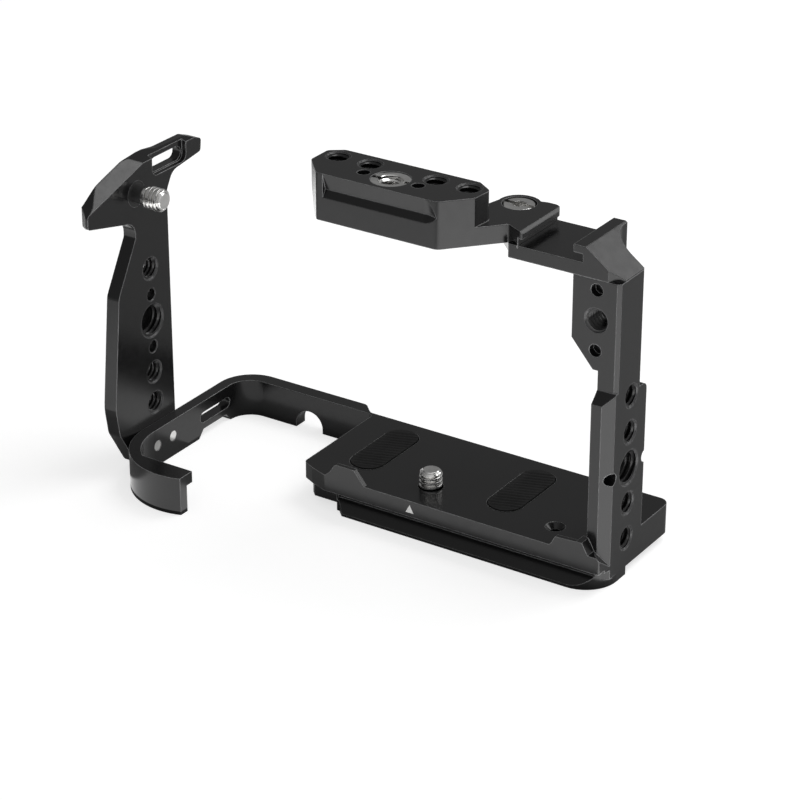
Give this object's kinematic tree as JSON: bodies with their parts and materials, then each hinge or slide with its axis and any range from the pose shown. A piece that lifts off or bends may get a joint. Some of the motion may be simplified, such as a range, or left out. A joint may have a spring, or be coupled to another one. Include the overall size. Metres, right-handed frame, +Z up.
{
  "type": "camera cage",
  "caption": "Black anodised camera cage with a dovetail base, grip band, side plate, cold shoe bar and bolted handle block, plus silver camera and side screws.",
  "frame": {"origin": "Middle of the box around the cage in X and Y, at the underside of the dovetail foot.", "axes": "+Z up, -Y where the camera's lens points, +X towards the column, which is on the right in the picture."},
  "size_m": [0.146, 0.066, 0.1006],
  "materials": {
    "anodised": "fine bead-blasted black anodising",
    "anodised_plate": "fine bead-blasted black anodising",
    "anodised_bar": "fine bead-blasted black anodising",
    "anodised_block": "fine bead-blasted black anodising",
    "steel": "turned stainless steel",
    "steel_insert": "turned stainless steel",
    "steel_thread": "turned stainless steel",
    "rubber": "matte grooved rubber",
    "nylon": "plain black nylon"
  },
  "bodies": {
    "frame": {"main_frame": "anodised", "side_plate": "anodised_plate", "side_plate_screws": "steel", "top_bar": "anodised_bar", "top_bar_screws": "steel", "handle_block": "anodised_block", "reducer_bushing": "steel_insert", "pad_left": "rubber", "pad_right": "rubber", "side_screw_sleeve": "nylon"},
    "camera_screw_body": {"camera_screw": "steel_thread"},
    "side_screw_body": {"side_lock_screw": "steel_thread"},
    "block_screw_body": {"block_screw": "steel"}
  },
  "joints": [
    {"name": "camera_screw_turn", "type": "hinge", "parent": "frame", "child": "camera_screw_body", "pos_m": [0.0156, 0.0018, 0.011], "axis": [0, 0, 1], "continuous": true},
    {"name": "side_screw_turn", "type": "hinge", "parent": "frame", "child": "side_screw_body", "pos_m": [-0.0689, -0.0123, 0.0806], "axis": [1, 0, 0], "continuous": true},
    {"name": "block_screw_turn", "type": "hinge", "parent": "frame", "child": "block_screw_body", "pos_m": [0.03475, 0.0128, 0.089], "axis": [0, 0, 1], "continuous": true}
  ]
}
